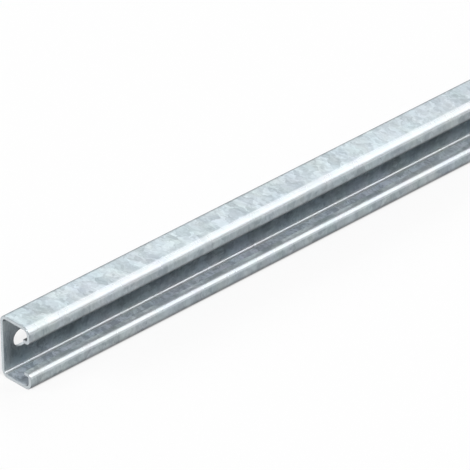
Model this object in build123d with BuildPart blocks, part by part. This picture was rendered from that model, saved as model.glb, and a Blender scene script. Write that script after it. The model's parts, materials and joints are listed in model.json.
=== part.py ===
"""Slotted steel mounting channel: a lipped C section, cold rolled from one galvanised strip.

Millimetres. X runs along the channel, Z is up and the open mouth faces -Y. The channel lies on
its lower flange, and the origin is the middle of that flange's underside.
"""
from build123d import *
import os

# Length of the cut piece of stock
channel_length = 1000

# Section
channel_height = 40
channel_depth = 24
strip_thickness = 2.25
lip_height = 10.75
lip_return = 5.5

# Bends, measured on their outer side
corner_bend_radius = 4.75
lip_bend_radius = 3.25

# Punched slots along the middle of the web
slot_length = 25
slot_width = 10.5
slot_pitch = 40

# Where the section's faces lie
web_y = channel_depth / 2
front_y = -channel_depth / 2
return_y = front_y + lip_return
lower_lip_z = lip_height
upper_lip_z = channel_height - lip_height
slot_row_z = channel_height / 2

# The outer slots keep half a pitch or more between their centres and the cut ends
slot_count = int(channel_length // slot_pitch)

with BuildPart() as channel:
    # The strip's outer face, from the tip of the lower return round to the tip of the upper one
    with BuildSketch(Plane.YZ) as section:
        with BuildLine():
            FilletPolyline(
                (return_y, lower_lip_z),
                (front_y, lower_lip_z),
                (front_y, 0),
                (web_y, 0),
                (web_y, channel_height),
                (front_y, channel_height),
                (front_y, upper_lip_z),
                (return_y, upper_lip_z),
                radius=[lip_bend_radius] + [corner_bend_radius] * 4 + [lip_bend_radius],
            )
            # The strip's thickness lies on the inner side of that face
            offset(amount=strip_thickness, side=Side.LEFT)
        make_face()
    extrude(amount=channel_length / 2, both=True)

    # One row of slots through the web, punched from its outer face
    with BuildSketch(Plane.XZ.offset(-web_y)) as slot_row:
        with Locations((0, slot_row_z)):
            with GridLocations(slot_pitch, 0, slot_count, 1):
                SlotOverall(slot_length, slot_width)
    extrude(amount=strip_thickness, mode=Mode.SUBTRACT)

channel.part.label = "channel"

os.makedirs("parts", exist_ok=True)
export_step(channel.part, "parts/channel.step")
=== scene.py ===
"""Slotted steel mounting channel on a pale studio floor.

Metres. X runs along the channel, Z is up and its open mouth faces -Y. Each operator in the
Channel tab of the 3D view's sidebar makes one piece, or the stage.
"""

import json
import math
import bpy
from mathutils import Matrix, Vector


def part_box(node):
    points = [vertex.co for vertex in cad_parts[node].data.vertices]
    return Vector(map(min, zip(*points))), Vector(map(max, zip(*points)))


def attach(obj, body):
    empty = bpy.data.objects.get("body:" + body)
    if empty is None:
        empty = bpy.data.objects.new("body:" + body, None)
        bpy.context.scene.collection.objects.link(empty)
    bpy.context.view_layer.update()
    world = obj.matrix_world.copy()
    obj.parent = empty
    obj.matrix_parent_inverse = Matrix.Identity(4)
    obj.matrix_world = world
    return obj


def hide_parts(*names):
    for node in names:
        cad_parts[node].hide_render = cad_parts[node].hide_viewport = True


bl_info = {
    "name": "Slotted mounting channel",
    "version": (1, 0, 0),
    "blender": (4, 5, 0),
    "location": "View3D > Sidebar > Channel",
    "description": "Builds a galvanised, slotted steel channel and a plain studio around it",
    "category": "Object",
}

import bpy
from bpy.props import FloatProperty, FloatVectorProperty, IntProperty, PointerProperty
from mathutils import Matrix, Vector

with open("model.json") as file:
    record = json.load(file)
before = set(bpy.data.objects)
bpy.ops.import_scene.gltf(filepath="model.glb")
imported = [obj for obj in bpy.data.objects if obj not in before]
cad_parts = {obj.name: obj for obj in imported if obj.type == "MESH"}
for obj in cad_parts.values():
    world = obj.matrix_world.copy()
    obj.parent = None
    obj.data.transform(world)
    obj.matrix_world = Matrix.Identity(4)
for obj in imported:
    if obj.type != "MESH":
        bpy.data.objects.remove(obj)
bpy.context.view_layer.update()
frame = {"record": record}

MM = 0.001

# The channel's overall size and its row of slots, as the frame holds them
channel_low, channel_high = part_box("channel")
channel_size = channel_high - channel_low
end_slots = next(m for m in frame["record"]["mounts"] if m["name"] == "slots_left_end")["dims"]


# Sizes and colours


class ChannelSizes(bpy.types.PropertyGroup):
    """Sizes of the rolled channel."""

    length: FloatProperty(
        name="Length", description="Length of the cut piece",
        default=channel_size.x, min=0.05, unit="LENGTH")
    depth: FloatProperty(
        name="Depth", description="From the web's back to the front of the lips",
        default=channel_size.y, min=0.01, unit="LENGTH")
    height: FloatProperty(
        name="Height", description="Across the web, over both flanges",
        default=channel_size.z, min=0.02, unit="LENGTH")
    strip_thickness: FloatProperty(
        name="Strip thickness", description="Thickness of the rolled strip",
        default=2.25 * MM, min=0.5 * MM, unit="LENGTH")
    lip_height: FloatProperty(
        name="Lip height", description="Height of each inturned lip on the front",
        default=10.75 * MM, min=2 * MM, unit="LENGTH")
    lip_return: FloatProperty(
        name="Lip return", description="How far each lip turns back into the channel",
        default=5.5 * MM, min=2 * MM, unit="LENGTH")
    corner_bend_radius: FloatProperty(
        name="Corner bend radius", description="Outer radius of the four main bends",
        default=4.75 * MM, min=1 * MM, unit="LENGTH")
    lip_bend_radius: FloatProperty(
        name="Lip bend radius", description="Outer radius of the bends at the mouth",
        default=3.25 * MM, min=1 * MM, unit="LENGTH")
    bend_steps: IntProperty(
        name="Bend steps", description="Flat steps in each quarter bend",
        default=16, min=2, max=64)
    slot_length: FloatProperty(
        name="Slot length", description="End to end, along the channel",
        default=end_slots["slot_length_mm"] * MM, min=1 * MM, unit="LENGTH")
    slot_width: FloatProperty(
        name="Slot width", description="Across the slot",
        default=2 * end_slots["hole_r_mm"] * MM, min=1 * MM, unit="LENGTH")
    slot_pitch: FloatProperty(
        name="Slot pitch", description="From one slot's middle to the next",
        default=end_slots["spacing_x_mm"] * MM, min=2 * MM, unit="LENGTH")
    edge_rounding: FloatProperty(
        name="Edge rounding", description="Width of the softened cut and punched edges",
        default=0.25 * MM, min=0, unit="LENGTH")


class ZincFinish(bpy.types.PropertyGroup):
    """Look of the hot-dip galvanised strip and of its bare cut edges."""

    light_flake: FloatVectorProperty(
        name="Light flakes", description="Colour of the brightest zinc flakes",
        default=(0.595, 0.672, 0.708), size=3, min=0, max=1, subtype="COLOR")
    dark_flake: FloatVectorProperty(
        name="Dark flakes", description="Colour of the dullest zinc flakes",
        default=(0.350, 0.409, 0.442), size=3, min=0, max=1, subtype="COLOR")
    tint: FloatProperty(
        name="Tint", description="How far clouds of flakes differ in tint",
        default=0.1, min=0, max=1, subtype="FACTOR")
    # Painted highlight: the colour painted on the bends that face up and to the front
    bend_highlight: FloatVectorProperty(
        name="Burnished bends", description="Colour of the zinc that the rolls pressed smooth",
        default=(0.648, 0.686, 0.708), size=3, min=0, max=1, subtype="COLOR")
    # Painted shade: how much darker the zinc is painted on a face that looks down
    painted_underside_shade: FloatProperty(
        name="Dull underside", description="How much darker the zinc is on a face that looks down",
        default=0.83, min=0, max=1, subtype="FACTOR")
    flake_width: FloatProperty(
        name="Flake width", description="Usual size of a zinc flake along the channel",
        default=5 * MM, min=0.5 * MM, unit="LENGTH")
    flake_length: FloatProperty(
        name="Flake length", description="Usual size of a zinc flake across the strip",
        default=9 * MM, min=0.5 * MM, unit="LENGTH")
    stroke_turn: FloatProperty(
        name="Stroke turn", description="How far the fine strokes turn from flake to flake",
        default=math.radians(70), min=0, subtype="ANGLE")
    flake_tilt: FloatProperty(
        name="Flake tilt", description="How far a flake's surface leans off the sheet",
        default=0.08, min=0, max=1, subtype="FACTOR")
    cut_edge: FloatVectorProperty(
        name="Cut edge", description="Colour of the sawn ends and punched slot walls",
        default=(0.80, 0.865, 0.90), size=3, min=0, max=1, subtype="COLOR")


class StageSettings(bpy.types.PropertyGroup):
    """Floor, light and camera."""

    floor_colour: FloatVectorProperty(
        name="Floor", description="Colour of the floor",
        default=(0.975, 0.975, 0.975), size=3, min=0, max=1, subtype="COLOR")
    floor_glow: FloatProperty(
        name="Floor glow", description="Share of the floor's whiteness that no shadow dims",
        default=0.83, min=0, max=1, subtype="FACTOR")
    bounce_colour: FloatVectorProperty(
        name="Floor bounce", description="Colour of the light that the floor sends back up",
        default=(0.4, 0.4, 0.4), size=3, min=0, max=1, subtype="COLOR")
    floor_size: FloatProperty(
        name="Floor size", description="Side of the square floor",
        default=80.0, min=1, unit="LENGTH")
    camera_azimuth: FloatProperty(
        name="Azimuth", description="Direction the camera stands in, from straight in front",
        default=math.radians(-42.78), subtype="ANGLE")
    camera_elevation: FloatProperty(
        name="Elevation", description="Angle the camera looks down at",
        default=math.radians(31.58), subtype="ANGLE")
    camera_roll: FloatProperty(
        name="Roll", description="Tilt of the camera about its view",
        default=math.radians(-1.16), subtype="ANGLE")
    camera_distance: FloatProperty(
        name="Distance", description="From the camera to the point it looks at",
        default=4.018, min=0.1, unit="LENGTH")
    camera_lens: FloatProperty(
        name="Lens", description="Focal length in millimetres on a 36 mm sensor",
        default=552.6, min=10)
    camera_aim: FloatVectorProperty(
        name="Aim", description="Point in the middle of the picture",
        default=(-0.3356, 0.0, 0.0237), size=3, subtype="XYZ_LENGTH")


# The channel's shape, as a tree of geometry nodes

# Points of a mesh that are nearer to each other than this are one
WELD_DISTANCE = 0.001 * MM

# The slots' cutters: flat steps in each quarter turn, and their length in strip thicknesses
SLOT_END_STEPS = 16
CUTTER_LENGTH = 4.0

# A face looks along an axis if that part of its normal is over this
FACING = 0.5

# The slots' walls lie nearer than this to the row's middle line, in slot widths
SLOT_WALL_REACH = 0.6


class Tree:
    """Adds nodes to a node tree, linking or setting each input by its name or number."""

    def __init__(self, tree):
        self.tree = tree

    def add(self, kind, inputs=None, **settings):
        node = self.tree.nodes.new(kind)
        for name, value in settings.items():
            setattr(node, name, value)
        for key, value in (inputs or {}).items():
            if isinstance(value, bpy.types.NodeSocket):
                self.tree.links.new(value, node.inputs[key])
            else:
                node.inputs[key].default_value = value
        return node

    def math(self, operation, first, second=0.0):
        return self.add("ShaderNodeMath", {0: first, 1: second}, operation=operation).outputs[0]

    def vector(self, x=0.0, y=0.0, z=0.0):
        return self.add("ShaderNodeCombineXYZ", {0: x, 1: y, 2: z}).outputs[0]

    def axes(self, vector):
        return self.add("ShaderNodeSeparateXYZ", {0: vector}).outputs

    def link(self, source, target):
        self.tree.links.new(source, target)


def add_interface(tree, sockets):
    """Gives a geometry tree its named inputs and its output, and returns the inputs' identifiers."""
    identifiers = {}
    for name, kind in sockets:
        item = tree.interface.new_socket(name=name, in_out="INPUT", socket_type=kind)
        identifiers[name] = item.identifier
    tree.interface.new_socket(name="Geometry", in_out="OUTPUT", socket_type="NodeSocketGeometry")
    return identifiers


def section_curve(shape, size):
    """The strip's closed section, drawn flat: depth along X, height along Y."""
    thickness = size["Strip Thickness"]
    corner = size["Corner Bend Radius"]
    lip = size["Lip Bend Radius"]
    corner_inside = shape.math("SUBTRACT", corner, thickness)
    lip_inside = shape.math("SUBTRACT", lip, thickness)

    web = shape.math("MULTIPLY", size["Depth"], 0.5)
    front = shape.math("MULTIPLY", size["Depth"], -0.5)
    web_inside = shape.math("SUBTRACT", web, thickness)
    front_inside = shape.math("ADD", front, thickness)
    return_tip = shape.math("ADD", front, size["Lip Return"])

    top = size["Height"]
    top_inside = shape.math("SUBTRACT", top, thickness)
    lower_lip = size["Lip Height"]
    lower_lip_inside = shape.math("SUBTRACT", lower_lip, thickness)
    upper_lip = shape.math("SUBTRACT", top, lower_lip)
    upper_lip_inside = shape.math("ADD", upper_lip, thickness)

    # Round the outer face from the lower return to the upper one, and back along the inner face
    corners = [
        (return_tip, lower_lip, 0.0),
        (front, lower_lip, lip),
        (front, 0.0, corner),
        (web, 0.0, corner),
        (web, top, corner),
        (front, top, corner),
        (front, upper_lip, lip),
        (return_tip, upper_lip, 0.0),
        (return_tip, upper_lip_inside, 0.0),
        (front_inside, upper_lip_inside, lip_inside),
        (front_inside, top_inside, corner_inside),
        (web_inside, top_inside, corner_inside),
        (web_inside, thickness, corner_inside),
        (front_inside, thickness, corner_inside),
        (front_inside, lower_lip_inside, lip_inside),
        (return_tip, lower_lip_inside, 0.0),
    ]
    index = shape.add("GeometryNodeInputIndex").outputs[0]
    place = shape.add("GeometryNodeIndexSwitch", {"Index": index}, data_type="VECTOR")
    radius = shape.add("GeometryNodeIndexSwitch", {"Index": index}, data_type="FLOAT")
    for switch in (place, radius):
        while len(switch.index_switch_items) < len(corners):
            switch.index_switch_items.new()
    for number, (depth, height, bend) in enumerate(corners):
        shape.link(shape.vector(depth, height), place.inputs[number + 1])
        if isinstance(bend, bpy.types.NodeSocket):
            shape.link(bend, radius.inputs[number + 1])

    # A row of points, each of them then put in its corner
    points = shape.add("GeometryNodeMeshLine", {"Count": len(corners), "Offset": (1, 0, 0)})
    placed = shape.add(
        "GeometryNodeSetPosition", {"Geometry": points.outputs[0], "Position": place.outputs[0]})
    outline = shape.add("GeometryNodeMeshToCurve", {"Mesh": placed.outputs[0]})
    closed = shape.add(
        "GeometryNodeSetSplineCyclic", {"Geometry": outline.outputs[0], "Cyclic": True})
    bent = shape.add(
        "GeometryNodeFilletCurve",
        {"Curve": closed.outputs[0], "Count": size["Bend Steps"], "Radius": radius.outputs[0]},
        mode="POLY")
    return bent.outputs[0]


def prism(shape, outline, length):
    """A closed bar of the given outline, as long as asked along Z, half of it below the outline."""
    line = shape.add(
        "GeometryNodeCurvePrimitiveLine",
        {"Start": shape.vector(z=shape.math("MULTIPLY", length, -0.5)),
         "End": shape.vector(z=shape.math("MULTIPLY", length, 0.5))})
    bar = shape.add(
        "GeometryNodeCurveToMesh",
        {"Curve": line.outputs[0], "Profile Curve": outline, "Fill Caps": True})
    merged = shape.add(
        "GeometryNodeMergeByDistance", {"Geometry": bar.outputs[0], "Distance": WELD_DISTANCE})
    return merged.outputs[0]


def slot_cutters(shape, size):
    """Round-ended bars through the web, one for each slot, standing across the channel."""
    flat = shape.add(
        "GeometryNodeCurvePrimitiveQuadrilateral",
        {"Width": size["Slot Length"], "Height": size["Slot Width"]})
    end_radius = shape.math("MULTIPLY", size["Slot Width"], 0.5)
    rounded = shape.add(
        "GeometryNodeFilletCurve",
        {"Curve": flat.outputs[0], "Count": SLOT_END_STEPS, "Radius": end_radius,
         "Limit Radius": True},
        mode="POLY")
    cutter_length = shape.math("MULTIPLY", size["Strip Thickness"], CUTTER_LENGTH)
    upright = prism(shape, rounded.outputs[0], cutter_length)
    cutter = shape.add(
        "GeometryNodeTransform", {"Geometry": upright, "Rotation": (math.radians(90), 0, 0)})

    gaps = shape.math("SUBTRACT", size["Slot Count"], 1.0)
    row = shape.math("MULTIPLY", gaps, size["Slot Pitch"])
    web = shape.math("MULTIPLY", size["Depth"], 0.5)
    first = shape.vector(
        shape.math("MULTIPLY", row, -0.5), web, shape.math("MULTIPLY", size["Height"], 0.5))
    middles = shape.add(
        "GeometryNodeMeshLine",
        {"Count": size["Slot Count"], "Start Location": first,
         "Offset": shape.vector(size["Slot Pitch"])})
    copies = shape.add(
        "GeometryNodeInstanceOnPoints",
        {"Points": middles.outputs[0], "Instance": cutter.outputs[0]})
    return shape.add("GeometryNodeRealizeInstances", {"Geometry": copies.outputs[0]}).outputs[0]


def cut_faces(shape, size):
    """True on the sawn ends and on the walls of the slots."""
    normal = shape.axes(shape.add("GeometryNodeInputNormal").outputs[0])
    place = shape.axes(shape.add("GeometryNodeInputPosition").outputs[0])
    along = shape.math("GREATER_THAN", shape.math("ABSOLUTE", normal["X"]), FACING)
    upright = shape.math("GREATER_THAN", shape.math("ABSOLUTE", normal["Z"]), FACING)
    middle = shape.math("MULTIPLY", size["Height"], 0.5)
    off_row = shape.math("ABSOLUTE", shape.math("SUBTRACT", place["Z"], middle))
    reach = shape.math("MULTIPLY", size["Slot Width"], SLOT_WALL_REACH)
    in_row = shape.math("LESS_THAN", off_row, reach)
    return shape.math("MAXIMUM", along, shape.math("MULTIPLY", upright, in_row))


CHANNEL_INPUTS = (
    ("Length", "NodeSocketFloat"),
    ("Depth", "NodeSocketFloat"),
    ("Height", "NodeSocketFloat"),
    ("Strip Thickness", "NodeSocketFloat"),
    ("Lip Height", "NodeSocketFloat"),
    ("Lip Return", "NodeSocketFloat"),
    ("Corner Bend Radius", "NodeSocketFloat"),
    ("Lip Bend Radius", "NodeSocketFloat"),
    ("Bend Steps", "NodeSocketInt"),
    ("Slot Length", "NodeSocketFloat"),
    ("Slot Width", "NodeSocketFloat"),
    ("Slot Pitch", "NodeSocketFloat"),
    ("Slot Count", "NodeSocketInt"),
    ("Sheet Finish", "NodeSocketMaterial"),
    ("Cut Finish", "NodeSocketMaterial"),
)


def rolled_channel_tree():
    """Sweeps the section along X, punches the slots and sets the two finishes."""
    tree = bpy.data.node_groups.new("Rolled channel", "GeometryNodeTree")
    identifiers = add_interface(tree, CHANNEL_INPUTS)
    shape = Tree(tree)
    size = shape.add("NodeGroupInput").outputs

    upright = prism(shape, section_curve(shape, size), size["Length"])
    lying = shape.add(
        "GeometryNodeTransform",
        {"Geometry": upright, "Rotation": (math.radians(90), 0, math.radians(90))})
    punched = shape.add(
        "GeometryNodeMeshBoolean",
        {"Mesh 1": lying.outputs[0], "Mesh 2": slot_cutters(shape, size)},
        operation="DIFFERENCE", solver="EXACT")
    whole = shape.add("GeometryNodeRealizeInstances", {"Geometry": punched.outputs[0]})
    sheet = shape.add(
        "GeometryNodeSetMaterial", {"Geometry": whole.outputs[0], "Material": size["Sheet Finish"]})
    edges = shape.add(
        "GeometryNodeSetMaterial",
        {"Geometry": sheet.outputs[0], "Selection": cut_faces(shape, size),
         "Material": size["Cut Finish"]})
    result = shape.add("NodeGroupOutput")
    shape.link(edges.outputs[0], result.inputs[0])
    return tree, identifiers


def apply_modifiers(piece):
    """Turns the piece's modifiers into plain mesh, without the empty finish that cutting adds."""
    depsgraph = bpy.context.evaluated_depsgraph_get()
    mesh = bpy.data.meshes.new_from_object(piece.evaluated_get(depsgraph), depsgraph=depsgraph)
    piece.modifiers.clear()
    piece.data = mesh
    if mesh.materials[0] is None:
        mesh.materials.pop(index=0)
    mesh.name = piece.name


# Finishes

# Share of metal in the shine of the zinc and of the cut steel
METAL_SHARE = 0.5

# The two ends of the range that most of a noise pattern's values lie in
NOISE_LOW = 0.3
NOISE_HIGH = 0.7

# The zinc's pattern: how fine its layers are, counted per metre for the wandering of the flakes'
# borders and per flake for the rest, and how far the borders wander, in flakes
WANDER_SCALE = 160.0
WANDER_REACH = 1.2
CHIP_SCALE = 2.6
CHIP_SOFTNESS = 0.3
STROKE_SCALE = (5.5, 2.0, 2.0)
CLOUD_SCALE = 0.45

# How far each layer moves the zinc between its dark and its light tone. A flake's strokes are
# between the least strength and that plus the range
FLAKE_CONTRAST = 0.55
CHIP_CONTRAST = 0.5
LEAST_STROKES = 0.3
STROKES_RANGE = 1.6

# The thick zinc on the channel's inner floor: the height it ends at and the one it is full at,
# how much it strengthens the pattern, and what it adds to the red, green and blue
THICK_END = 6 * MM
THICK_FULL = 3 * MM
THICK_STRENGTH = 0.9
THICK_COLOUR = (0.06, 0.04, 0.09)

# A face's slant is its normal's part to the back times its part upwards. A painted highlight and
# smoother zinc start and are full at these, on the bends that face up and to the front. The painted
# highlight covers that share of the flakes' colour, and the smoothing takes that off their roughness
HIGHLIGHT_AND_POLISH_START = -0.08
HIGHLIGHT_AND_POLISH_FULL = -0.35
PAINTED_HIGHLIGHT_COVER = 0.8
BURNISH_SMOOTHING = 0.13

# Painted shade on the bend along the back of the top, between these slants, down to this share
PAINTED_BACK_SHADE_START = 0.08
PAINTED_BACK_SHADE_FULL = 0.35
PAINTED_BACK_SHADE_SHARE = 0.65

# Painted shade: the upward part of the normal at which a face starts to be painted darker, and
# darkest
PAINTED_SHADE_START = 0.35
PAINTED_SHADE_FULL = -0.6

# How rough the zinc is where it is smoothest and where it is roughest, and how strongly and how
# deep its flakes stand out as relief
SMOOTHEST_ZINC = 0.35
ROUGHEST_ZINC = 0.42
FLAKE_BUMP = 0.3
FLAKE_RELIEF = 0.05 * MM

# The fine lines that tools leave on a cut: how close they are, per metre, and how dark and deep
TOOL_LINE_SCALE = (300.0, 300.0, 2500.0)
TOOL_LINE_SHARE = 0.8
TOOL_LINE_BUMP = 0.2
TOOL_LINE_RELIEF = 0.02 * MM
CUT_ROUGHNESS = 0.42

# Painted shadow under the channel: how far inside its sides the floor's glow starts to fade, and is
# gone
GLOW_EDGE = 2 * MM
PAINTED_SHADOW_EDGE = 4.5 * MM


def new_finish(name):
    """An empty material with its surface shader joined to the output."""
    material = bpy.data.materials.new(name)
    material.use_nodes = True
    material.node_tree.nodes.clear()
    paint = Tree(material.node_tree)
    surface = paint.add("ShaderNodeBsdfPrincipled")
    output = paint.add("ShaderNodeOutputMaterial")
    paint.link(surface.outputs[0], output.inputs["Surface"])
    return material, paint, surface


def mixed(paint, amount, first, second):
    """Mixes two colours, which are sockets 6 and 7 of a Mix node, with their mix as its output 2."""
    mix = paint.add("ShaderNodeMix", {0: amount, 6: first, 7: second}, data_type="RGBA")
    return mix.outputs[2]


def opaque(colour):
    return (*colour, 1.0)


def spread(paint, value, low, high, new_low=0.0, new_high=1.0):
    """Maps a value from one range to another, held inside it."""
    node = paint.add(
        "ShaderNodeMapRange",
        {"Value": value, "From Min": low, "From Max": high, "To Min": new_low, "To Max": new_high})
    return node.outputs[0]


def combined(paint, operation, first, second):
    """Works out one vector or colour from two."""
    node = paint.add("ShaderNodeVectorMath", {0: first, 1: second}, operation=operation)
    return node.outputs[0]


def scaled(paint, vector, factors):
    """Stretches a vector or a colour by three factors, or by one."""
    if isinstance(factors, float):
        factors = (factors,) * 3
    return combined(paint, "MULTIPLY", vector, factors)


def moved(paint, vector, other):
    """Adds two vectors."""
    return combined(paint, "ADD", vector, other)


def centred(paint, value):
    """Moves a value that runs from 0 to 1 so that it runs from -0.5 to 0.5."""
    return paint.math("SUBTRACT", value, 0.5)


def centred_vector(paint, vector):
    """Moves a vector whose parts run from 0 to 1 so that they run from -0.5 to 0.5."""
    return moved(paint, vector, (-0.5, -0.5, -0.5))


def split(paint, colour):
    """Splits a colour into its three parts."""
    return paint.add("ShaderNodeSeparateColor", {0: colour}).outputs


def noise(paint, place, scale, detail, roughness):
    """A soft random pattern: its value, and three of them as a colour."""
    node = paint.add(
        "ShaderNodeTexNoise",
        {"Vector": place, "Scale": scale, "Detail": detail, "Roughness": roughness})
    return node.outputs


def zinc_flakes(paint, place, finish):
    """Flakes narrow along the channel and long across it, with wandering borders."""
    wander = noise(paint, place, WANDER_SCALE, detail=2.0, roughness=0.6)
    drift = scaled(paint, centred_vector(paint, wander["Color"]), WANDER_REACH)
    across = 1 / finish.flake_length
    flake_place = scaled(paint, place, (1 / finish.flake_width, across, across))
    flake_place = moved(paint, flake_place, drift)
    flakes = paint.add("ShaderNodeTexVoronoi", {"Vector": flake_place, "Scale": 1.0}, feature="F1")
    return flake_place, flakes.outputs


def flake_tone(paint, flake_place, flakes, finish, contrast):
    """How light the zinc is, around 0.5: the flake's own tone, chips in it and its strokes."""
    flake = split(paint, flakes["Color"])
    chips = paint.add(
        "ShaderNodeTexVoronoi",
        {"Vector": flake_place, "Scale": CHIP_SCALE, "Smoothness": CHIP_SOFTNESS},
        feature="SMOOTH_F1")
    chip = split(paint, chips.outputs["Color"])

    # Each flake has its own direction and strength of fine strokes
    within = combined(paint, "SUBTRACT", flake_place, flakes["Position"])
    turn = paint.math("MULTIPLY", centred(paint, flake[1]), finish.stroke_turn)
    turned = paint.add(
        "ShaderNodeVectorRotate",
        {"Vector": within, "Rotation": paint.vector(0.0, turn, turn)},
        rotation_type="EULER_XYZ")
    stroke_place = scaled(paint, turned.outputs[0], STROKE_SCALE)
    stroke_place = moved(paint, stroke_place, flakes["Position"])
    strokes = noise(paint, stroke_place, 1.0, detail=2.0, roughness=0.55)
    strength = paint.math("ADD", paint.math("MULTIPLY", flake[2], STROKES_RANGE), LEAST_STROKES)

    pattern = 0.0
    for layer, share in (
            (flake[0], FLAKE_CONTRAST),
            (chip[0], CHIP_CONTRAST),
            (strokes[0], strength)):
        shift = paint.math("MULTIPLY", centred(paint, layer), share)
        pattern = paint.math("ADD", pattern, shift)
    return paint.math("ADD", 0.5, paint.math("MULTIPLY", pattern, contrast))


def galvanised_sheet(finish):
    """Hot-dip zinc, soft flakes of mixed tone; painted highlight and smoother zinc on up-and-front
    bends.
    """
    material, paint, surface = new_finish("galvanised_sheet")
    where = paint.add("ShaderNodeTexCoord").outputs
    place = where["Object"]
    facing = paint.axes(where["Normal"])
    upward = paint.math("MAXIMUM", facing["Z"], 0.0)
    slant = paint.math("MULTIPLY", facing["Y"], upward)

    # Zinc lies thickest on the channel's inner floor, where its flakes are bluer and show more
    low = spread(paint, paint.axes(place)["Z"], THICK_END, THICK_FULL, 0.0, THICK_STRENGTH)
    thick = paint.math("MULTIPLY", upward, low)
    flake_place, flakes = zinc_flakes(paint, place, finish)
    tone = flake_tone(paint, flake_place, flakes, finish, paint.math("ADD", 1.0, thick))
    colour = mixed(paint, tone, opaque(finish.dark_flake), opaque(finish.light_flake))
    thick_colour = moved(paint, scaled(paint, thick, THICK_COLOUR), (1.0, 1.0, 1.0))
    colour = scaled(paint, colour, thick_colour)

    # Painted highlight: the bends that face up and to the front are painted brighter, and are
    # smoother
    polish_and_highlight = spread(paint, slant, HIGHLIGHT_AND_POLISH_START, HIGHLIGHT_AND_POLISH_FULL)
    unburnished = paint.math("SUBTRACT", 1.0, polish_and_highlight)
    highlight_cover = paint.math("MULTIPLY", polish_and_highlight, PAINTED_HIGHLIGHT_COVER)
    colour = mixed(paint, highlight_cover, colour, opaque(finish.bend_highlight))

    # Clouds wider than a flake differ in tint and in smoothness
    clouds = noise(paint, flake_place, CLOUD_SCALE, detail=1.0, roughness=0.5)
    cloud = split(paint, clouds["Color"])
    warm = paint.math("MULTIPLY", centred(paint, cloud[0]), finish.tint)
    green = paint.math("MULTIPLY", centred(paint, cloud[1]), finish.tint)
    tint = paint.vector(
        paint.math("ADD", 1.0, warm),
        paint.math("ADD", 1.0, green),
        paint.math("SUBTRACT", 1.0, warm))
    colour = scaled(paint, colour, tint)
    roughness = spread(paint, cloud[2], NOISE_LOW, NOISE_HIGH, SMOOTHEST_ZINC, ROUGHEST_ZINC)
    smoothing = paint.math("MULTIPLY", polish_and_highlight, BURNISH_SMOOTHING)
    paint.link(paint.math("SUBTRACT", roughness, smoothing), surface.inputs["Roughness"])
    surface.inputs["Metallic"].default_value = METAL_SHARE

    # Painted shade: darker the less a face looks up, and on the bend along the back of the top
    painted_facing_shade = spread(paint, facing["Z"], PAINTED_SHADE_START, PAINTED_SHADE_FULL, 1.0, 1 - finish.painted_underside_shade)
    painted_back_shade = spread(paint, slant, PAINTED_BACK_SHADE_START, PAINTED_BACK_SHADE_FULL, 1.0, PAINTED_BACK_SHADE_SHARE)
    colour = scaled(paint, colour, paint.math("MULTIPLY", painted_facing_shade, painted_back_shade))
    paint.link(colour, surface.inputs["Base Color"])

    # Each flake lies at its own slight tilt
    tilt = scaled(paint, centred_vector(paint, flakes["Color"]), finish.flake_tilt)
    tilt = scaled(paint, tilt, unburnished)
    normal = moved(paint, paint.add("ShaderNodeNewGeometry").outputs["Normal"], tilt)
    normal = paint.add("ShaderNodeVectorMath", {0: normal}, operation="NORMALIZE").outputs[0]
    bump = paint.add(
        "ShaderNodeBump",
        {"Strength": paint.math("MULTIPLY", unburnished, FLAKE_BUMP), "Distance": FLAKE_RELIEF,
         "Height": tone, "Normal": normal})
    paint.link(bump.outputs[0], surface.inputs["Normal"])
    return material


def bare_cut_steel(finish):
    """Sawn and punched faces: brighter and plainer than the zinc, with fine tool lines."""
    material, paint, surface = new_finish("cut_edge")
    place = paint.add("ShaderNodeTexCoord").outputs["Object"]
    along_lines = scaled(paint, place, TOOL_LINE_SCALE)
    marks = noise(paint, along_lines, 1.0, detail=2.0, roughness=0.5)[0]
    shade = spread(paint, marks, NOISE_LOW, NOISE_HIGH)
    dark = tuple(part * TOOL_LINE_SHARE for part in finish.cut_edge)
    colour = mixed(paint, shade, opaque(dark), opaque(finish.cut_edge))
    paint.link(colour, surface.inputs["Base Color"])
    surface.inputs["Metallic"].default_value = METAL_SHARE
    surface.inputs["Roughness"].default_value = CUT_ROUGHNESS
    bump = paint.add(
        "ShaderNodeBump",
        {"Strength": TOOL_LINE_BUMP, "Distance": TOOL_LINE_RELIEF, "Height": marks})
    paint.link(bump.outputs[0], surface.inputs["Normal"])
    return material


def studio_floor(stage):
    """Matt white floor, mostly glow but with a painted shadow under the channel, sending little
    light up.
    """
    material, paint, surface = new_finish("studio_floor")
    ray = paint.add("ShaderNodeLightPath").outputs
    seen = paint.math("MAXIMUM", ray["Is Camera Ray"], ray["Is Glossy Ray"])
    seen = paint.math("MAXIMUM", seen, ray["Is Transmission Ray"])
    lit_colour = tuple(part * (1 - stage.floor_glow) for part in stage.floor_colour)
    colour = mixed(paint, seen, opaque(stage.bounce_colour), opaque(lit_colour))
    paint.link(colour, surface.inputs["Base Color"])
    surface.inputs["Emission Color"].default_value = opaque(stage.floor_colour)

    # Painted shadow: no glow under the channel, where the floor stays dark
    place = paint.axes(paint.add("ShaderNodeTexCoord").outputs["Object"])
    clear = 0.0
    for axis, half in (("X", channel_size.x / 2), ("Y", channel_size.y / 2)):
        offset = paint.math("ABSOLUTE", place[axis])
        fade = spread(paint, offset, half - PAINTED_SHADOW_EDGE, half - GLOW_EDGE)
        clear = paint.math("MAXIMUM", clear, fade)
    glow = paint.math("MULTIPLY", paint.math("MULTIPLY", seen, clear), stage.floor_glow)
    paint.link(glow, surface.inputs["Emission Strength"])
    surface.inputs["Roughness"].default_value = 1.0
    surface.inputs["Specular IOR Level"].default_value = 0.0
    return material


# The piece

# Edges that turn by more than this are softened, in this many steps, with the sheet's finish,
# which is the first of the piece's two
SHARP_TURN = math.radians(40)
ROUNDING_STEPS = 2
SHEET_FINISH = 0

# Keeps a length of whole pitches from losing a slot to a rounding error, in pitches
PITCH_MARGIN = 0.001


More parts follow.
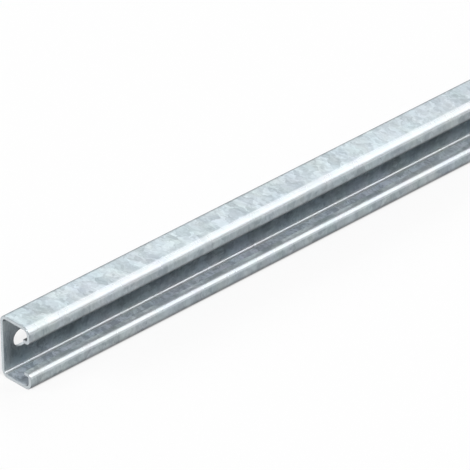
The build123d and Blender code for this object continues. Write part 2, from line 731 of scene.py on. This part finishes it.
class CHANNEL_OT_add_rolled_channel(bpy.types.Operator):
    """Add the slotted channel in place of the plain CAD node"""

    bl_idname = "channel.add_rolled_channel"
    bl_label = "Add rolled channel"

    def execute(self, context):
        sizes = context.scene.channel_sizes
        finish = context.scene.zinc_finish
        tree, identifiers = rolled_channel_tree()
        values = {
            "Length": sizes.length,
            "Depth": sizes.depth,
            "Height": sizes.height,
            "Strip Thickness": sizes.strip_thickness,
            "Lip Height": sizes.lip_height,
            "Lip Return": sizes.lip_return,
            "Corner Bend Radius": sizes.corner_bend_radius,
            "Lip Bend Radius": sizes.lip_bend_radius,
            "Bend Steps": sizes.bend_steps,
            "Slot Length": sizes.slot_length,
            "Slot Width": sizes.slot_width,
            "Slot Pitch": sizes.slot_pitch,
            "Slot Count": int(sizes.length / sizes.slot_pitch + PITCH_MARGIN),
            "Sheet Finish": galvanised_sheet(finish),
            "Cut Finish": bare_cut_steel(finish),
        }
        piece = bpy.data.objects.new("rolled_channel", bpy.data.meshes.new("rolled_channel"))
        context.collection.objects.link(piece)
        shape = piece.modifiers.new("Rolled channel", "NODES")
        shape.node_group = tree
        for name, value in values.items():
            shape[identifiers[name]] = value
        apply_modifiers(piece)

        # Cut and punched edges catch a thin line of light; the bends stay smooth
        for face in piece.data.polygons:
            face.use_smooth = True
        rounding = piece.modifiers.new("Edge rounding", "BEVEL")
        rounding.width = sizes.edge_rounding
        rounding.segments = ROUNDING_STEPS
        rounding.limit_method = "ANGLE"
        rounding.angle_limit = SHARP_TURN
        rounding.harden_normals = True
        rounding.material = SHEET_FINISH
        apply_modifiers(piece)

        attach(piece, "root")
        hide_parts("channel")
        return {"FINISHED"}


# The stage

# The floor lies this far under the channel, so that their faces never share a place
FLOOR_DROP = 0.1 * MM

# Lamps at infinity: name, direction towards the lamp, strength, softness in degrees
STUDIO_LAMPS = (
    ("front_key", (-0.10, -0.60, 0.79), 2.5, 14),
    ("left_back", (-0.70, 0.50, 0.50), 0.8, 25),
)

# A row of soft lamps, arched over the channel from behind it to in front of it and wide enough
# to overlap: the strength of each, the first one's lean from straight up and the step between
# two in degrees, how far they all stand to the right, and their softness in degrees
ARCH_STRENGTHS = (0.12,) * 8 + (0.125, 0.15, 0.18, 0.11, 0.03)
ARCH_START = -70
ARCH_STEP = 12.5
ARCH_SIDE = 0.58
ARCH_SOFTNESS = 25

SKY_STRENGTH = 0.06

# How far the camera sees, past the floor's far corner
SIGHT = 200


def add_floor(context, stage):
    """A square floor just under the channel."""
    half = stage.floor_size / 2
    corners = ((-half, -half), (half, -half), (half, half), (-half, half))
    mesh = bpy.data.meshes.new("studio_floor")
    mesh.from_pydata([(x, y, -FLOOR_DROP) for x, y in corners], [], [(0, 1, 2, 3)])
    mesh.materials.append(studio_floor(stage))
    floor = bpy.data.objects.new("studio_floor", mesh)
    context.collection.objects.link(floor)


def add_lamps(context):
    """The lamps in front and behind, and the arch of soft ones."""
    lamps = list(STUDIO_LAMPS)
    reach = math.sqrt(1 - ARCH_SIDE ** 2)
    for number, strength in enumerate(ARCH_STRENGTHS):
        lean = math.radians(ARCH_START + ARCH_STEP * number)
        towards = (ARCH_SIDE, -reach * math.sin(lean), reach * math.cos(lean))
        lamps.append(("arch_%02d" % (number + 1), towards, strength, ARCH_SOFTNESS))
    for name, towards, strength, softness in lamps:
        lamp = bpy.data.lights.new(name, "SUN")
        lamp.energy = strength
        lamp.angle = math.radians(softness)
        holder = bpy.data.objects.new(name, lamp)
        holder.rotation_euler = Vector(towards).to_track_quat("Z", "Y").to_euler()
        context.collection.objects.link(holder)


def add_sky(context):
    """A faint even light from all round."""
    world = bpy.data.worlds.new("studio")
    world.use_nodes = True
    world.node_tree.nodes.clear()
    sky = Tree(world.node_tree)
    light = sky.add("ShaderNodeBackground", {"Color": (1, 1, 1, 1), "Strength": SKY_STRENGTH})
    output = sky.add("ShaderNodeOutputWorld")
    sky.link(light.outputs[0], output.inputs["Surface"])
    context.scene.world = world


def add_camera(context, stage):
    """The camera, turned round and above the point that it looks at."""
    azimuth, elevation = stage.camera_azimuth, stage.camera_elevation
    back = Vector((
        math.sin(azimuth) * math.cos(elevation),
        -math.cos(azimuth) * math.cos(elevation),
        math.sin(elevation)))
    camera = bpy.data.cameras.new("camera")
    camera.lens = stage.camera_lens
    camera.clip_end = SIGHT
    holder = bpy.data.objects.new("camera", camera)
    turn = back.to_track_quat("Z", "Y").to_matrix() @ Matrix.Rotation(stage.camera_roll, 3, "Z")
    holder.rotation_euler = turn.to_euler()
    holder.location = Vector(stage.camera_aim) + back * stage.camera_distance
    context.collection.objects.link(holder)
    context.scene.camera = holder


class CHANNEL_OT_add_stage(bpy.types.Operator):
    """Add the floor, the studio light and the camera"""

    bl_idname = "channel.add_stage"
    bl_label = "Add stage"

    def execute(self, context):
        stage = context.scene.stage_settings
        add_floor(context, stage)
        add_lamps(context)
        add_sky(context)
        add_camera(context, stage)
        context.scene.view_settings.view_transform = "Standard"
        return {"FINISHED"}


class CHANNEL_PT_panel(bpy.types.Panel):
    """Sizes, finish and stage of the slotted channel"""

    bl_label = "Slotted channel"
    bl_idname = "CHANNEL_PT_panel"
    bl_space_type = "VIEW_3D"
    bl_region_type = "UI"
    bl_category = "Channel"

    def draw(self, context):
        for settings, operator in (
                (context.scene.channel_sizes, CHANNEL_OT_add_rolled_channel),
                (context.scene.zinc_finish, None),
                (context.scene.stage_settings, CHANNEL_OT_add_stage)):
            box = self.layout.box()
            for name in settings.bl_rna.properties.keys():
                if name not in ("name", "rna_type"):
                    box.prop(settings, name)
            if operator:
                box.operator(operator.bl_idname)


CLASSES = (
    ChannelSizes,
    ZincFinish,
    StageSettings,
    CHANNEL_OT_add_rolled_channel,
    CHANNEL_OT_add_stage,
    CHANNEL_PT_panel,
)


def register():
    for cls in CLASSES:
        bpy.utils.register_class(cls)
    bpy.types.Scene.channel_sizes = PointerProperty(type=ChannelSizes)
    bpy.types.Scene.zinc_finish = PointerProperty(type=ZincFinish)
    bpy.types.Scene.stage_settings = PointerProperty(type=StageSettings)


def unregister():
    del bpy.types.Scene.stage_settings
    del bpy.types.Scene.zinc_finish
    del bpy.types.Scene.channel_sizes
    for cls in reversed(CLASSES):
        bpy.utils.unregister_class(cls)


def main():
    register()
    bpy.ops.channel.add_rolled_channel()
    bpy.ops.channel.add_stage()


if __name__ == "__main__":
    main()
